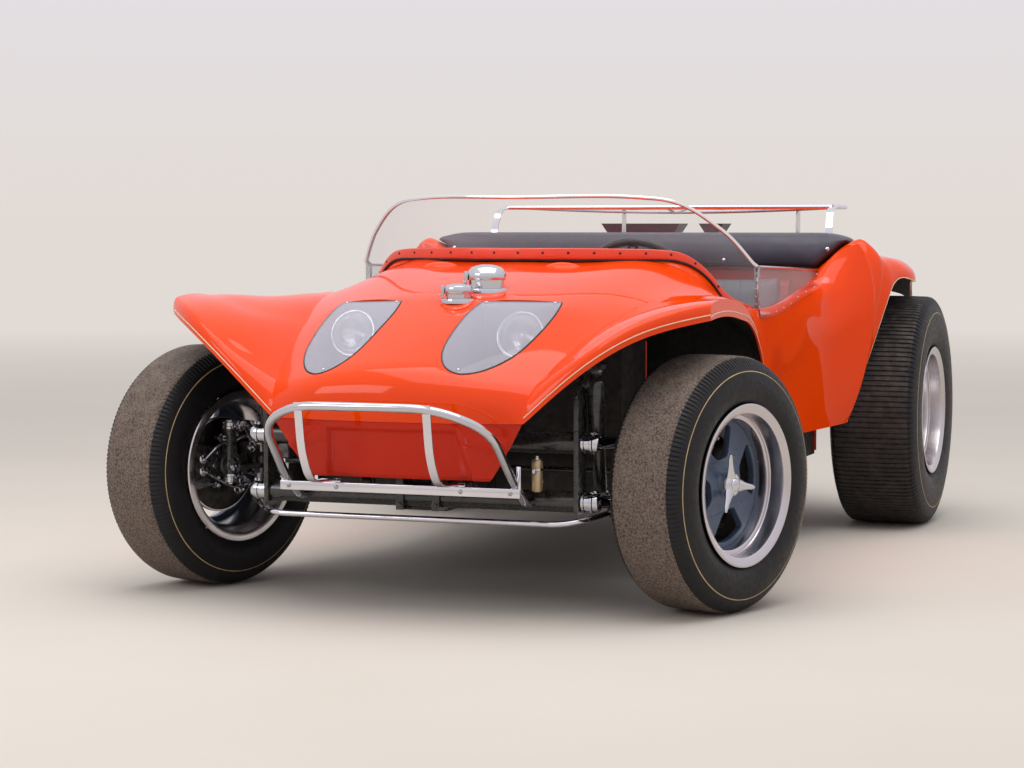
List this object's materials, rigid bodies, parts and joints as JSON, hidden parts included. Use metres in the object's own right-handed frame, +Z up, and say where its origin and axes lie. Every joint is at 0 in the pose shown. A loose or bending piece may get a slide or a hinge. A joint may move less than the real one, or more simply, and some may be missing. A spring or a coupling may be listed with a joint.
{
  "type": "dune buggy",
  "caption": "Open dune buggy: one moulded body with high wings, wrap-round screen, deep alloy wheels, chrome hoop bumper, deck rack and rear engine, with real steering.",
  "frame": {"origin": "on the ground under the middle of the wheelbase, which is the middle of the overall box", "axes": "-Y is the front, +X the vehicle's left, +Z up"},
  "size_m": [1.857, 3.28, 1.079],
  "materials": {
    "body_orange": "gloss orange gelcoat on moulded fibreglass",
    "chassis_black": "gloss black enamel",
    "chrome": "polished chrome",
    "rim_polish": "machined and polished alloy, blue-grey spokes",
    "cast_alloy": "bead-blasted engine alloy",
    "steel": "bare turned steel",
    "tyre_rubber": "worn black rubber with dust",
    "clear": "clear acrylic",
    "lamp_glass": "fluted glass in a bright bowl",
    "pad_vinyl": "soft black vinyl",
    "seat_vinyl": "grey vinyl",
    "grip": "black rubber",
    "floor_coat": "textured black coating",
    "lamp_red": "red moulded lens"
  },
  "bodies": {
    "chassis": {"hood": "body_orange", "chin": "body_orange", "front_fender_left": "body_orange", "front_fender_right": "body_orange", "side_left": "body_orange", "side_right": "body_orange", "rear_fender_left": "body_orange", "rear_fender_right": "body_orange", "rear_deck": "body_orange", "windshield_strip": "body_orange", "dashboard": "body_orange", "floor_pan": "floor_coat", "windshield": "clear", "side_window_left": "clear", "side_window_right": "clear", "lamp_covers": "clear", "headlamps": "lamp_glass", "windshield_trim": "chrome", "fuel_neck": "chrome", "brake_fluid_neck": "chrome", "bumper": "chrome", "sway_bar": "chrome", "rack": "chrome", "coaming_pad": "pad_vinyl", "seat_left": "seat_vinyl", "seat_right": "seat_vinyl", "steering_column": "chassis_black", "front_beam": "chassis_black", "front_shocks": "chassis_black", "rear_shocks": "chassis_black", "torsion_housing": "chassis_black", "spring_plates": "chassis_black", "axle_tubes": "chassis_black", "levers": "steel", "front_arms": "steel", "transaxle": "cast_alloy", "engine_block": "cast_alloy", "fan_shroud": "cast_alloy", "air_cleaners": "cast_alloy", "exhaust": "steel", "tail_lamps": "lamp_red"},
    "knuckle_left": {"knuckle_left": "steel"},
    "knuckle_right": {"knuckle_right": "steel"},
    "front_wheel_left": {"front_wheel_left": "rim_polish", "front_tyre_left": "tyre_rubber", "brake_disc_left": "steel"},
    "front_wheel_right": {"front_wheel_right": "rim_polish", "front_tyre_right": "tyre_rubber", "brake_disc_right": "steel"},
    "rear_wheel_left": {"rear_wheel_left": "rim_polish", "rear_tyre_left": "tyre_rubber", "brake_drum_left": "steel"},
    "rear_wheel_right": {"rear_wheel_right": "rim_polish", "rear_tyre_right": "tyre_rubber", "brake_drum_right": "steel"},
    "steering_wheel": {"steering_wheel": "grip"},
    "track_rod": {"track_rod": "chassis_black"},
    "fuel_lid": {"fuel_lid": "chrome"},
    "brake_fluid_lid": {"brake_fluid_lid": "chrome"}
  },
  "joints": [
    {"name": "steer_left", "type": "hinge", "parent": "chassis", "child": "knuckle_left", "pos_m": [0.6625, -1.016, 0.365], "axis": [0, 0, 1], "range_deg": [-7, 43]},
    {"name": "steer_right", "type": "hinge", "parent": "chassis", "child": "knuckle_right", "pos_m": [-0.6625, -1.016, 0.365], "axis": [0, 0, 1], "range_deg": [-7, 43]},
    {"name": "track_rod_slide", "type": "slide", "parent": "chassis", "child": "track_rod", "axis": [1, 0, 0], "range_m": [-0.0825, 0.0136]},
    {"name": "steering_wheel_turn", "type": "hinge", "parent": "chassis", "child": "steering_wheel", "pos_m": [0.21, 0, 0.795], "axis": [0, 0.8829, 0.4695], "range_deg": [-98.1, 602.1]},
    {"name": "front_left_spin", "type": "hinge", "parent": "knuckle_left", "child": "front_wheel_left", "pos_m": [0.71956, -1.03454, 0.33], "axis": [0.9511, -0.309, 0], "continuous": true},
    {"name": "front_right_spin", "type": "hinge", "parent": "knuckle_right", "child": "front_wheel_right", "pos_m": [-0.71956, -0.99746, 0.33], "axis": [0.9511, -0.309, 0], "continuous": true},
    {"name": "rear_left_spin", "type": "hinge", "parent": "chassis", "child": "rear_wheel_left", "pos_m": [0.7835, 1.016, 0.3774], "axis": [1, 0, 0], "continuous": true},
    {"name": "rear_right_spin", "type": "hinge", "parent": "chassis", "child": "rear_wheel_right", "pos_m": [-0.7835, 1.016, 0.3774], "axis": [1, 0, 0], "continuous": true},
    {"name": "fuel_lid_hinge", "type": "hinge", "parent": "chassis", "child": "fuel_lid", "pos_m": [0.064, -0.874, 0.8576], "axis": [-1, 0, 0], "range_deg": [0, 95]},
    {"name": "brake_fluid_lid_hinge", "type": "hinge", "parent": "chassis", "child": "brake_fluid_lid", "pos_m": [0.027, -1.003, 0.8226], "axis": [-1, 0, 0], "range_deg": [0, 95]}
  ],
  "couplings": [
    {"joint": "steer_right", "follows": "steer_left", "ratio": 1},
    {"joint": "track_rod_slide", "follows": "steer_left", "m_per_rad": -0.1089},
    {"joint": "steering_wheel_turn", "follows": "steer_left", "ratio": 14}
  ]
}
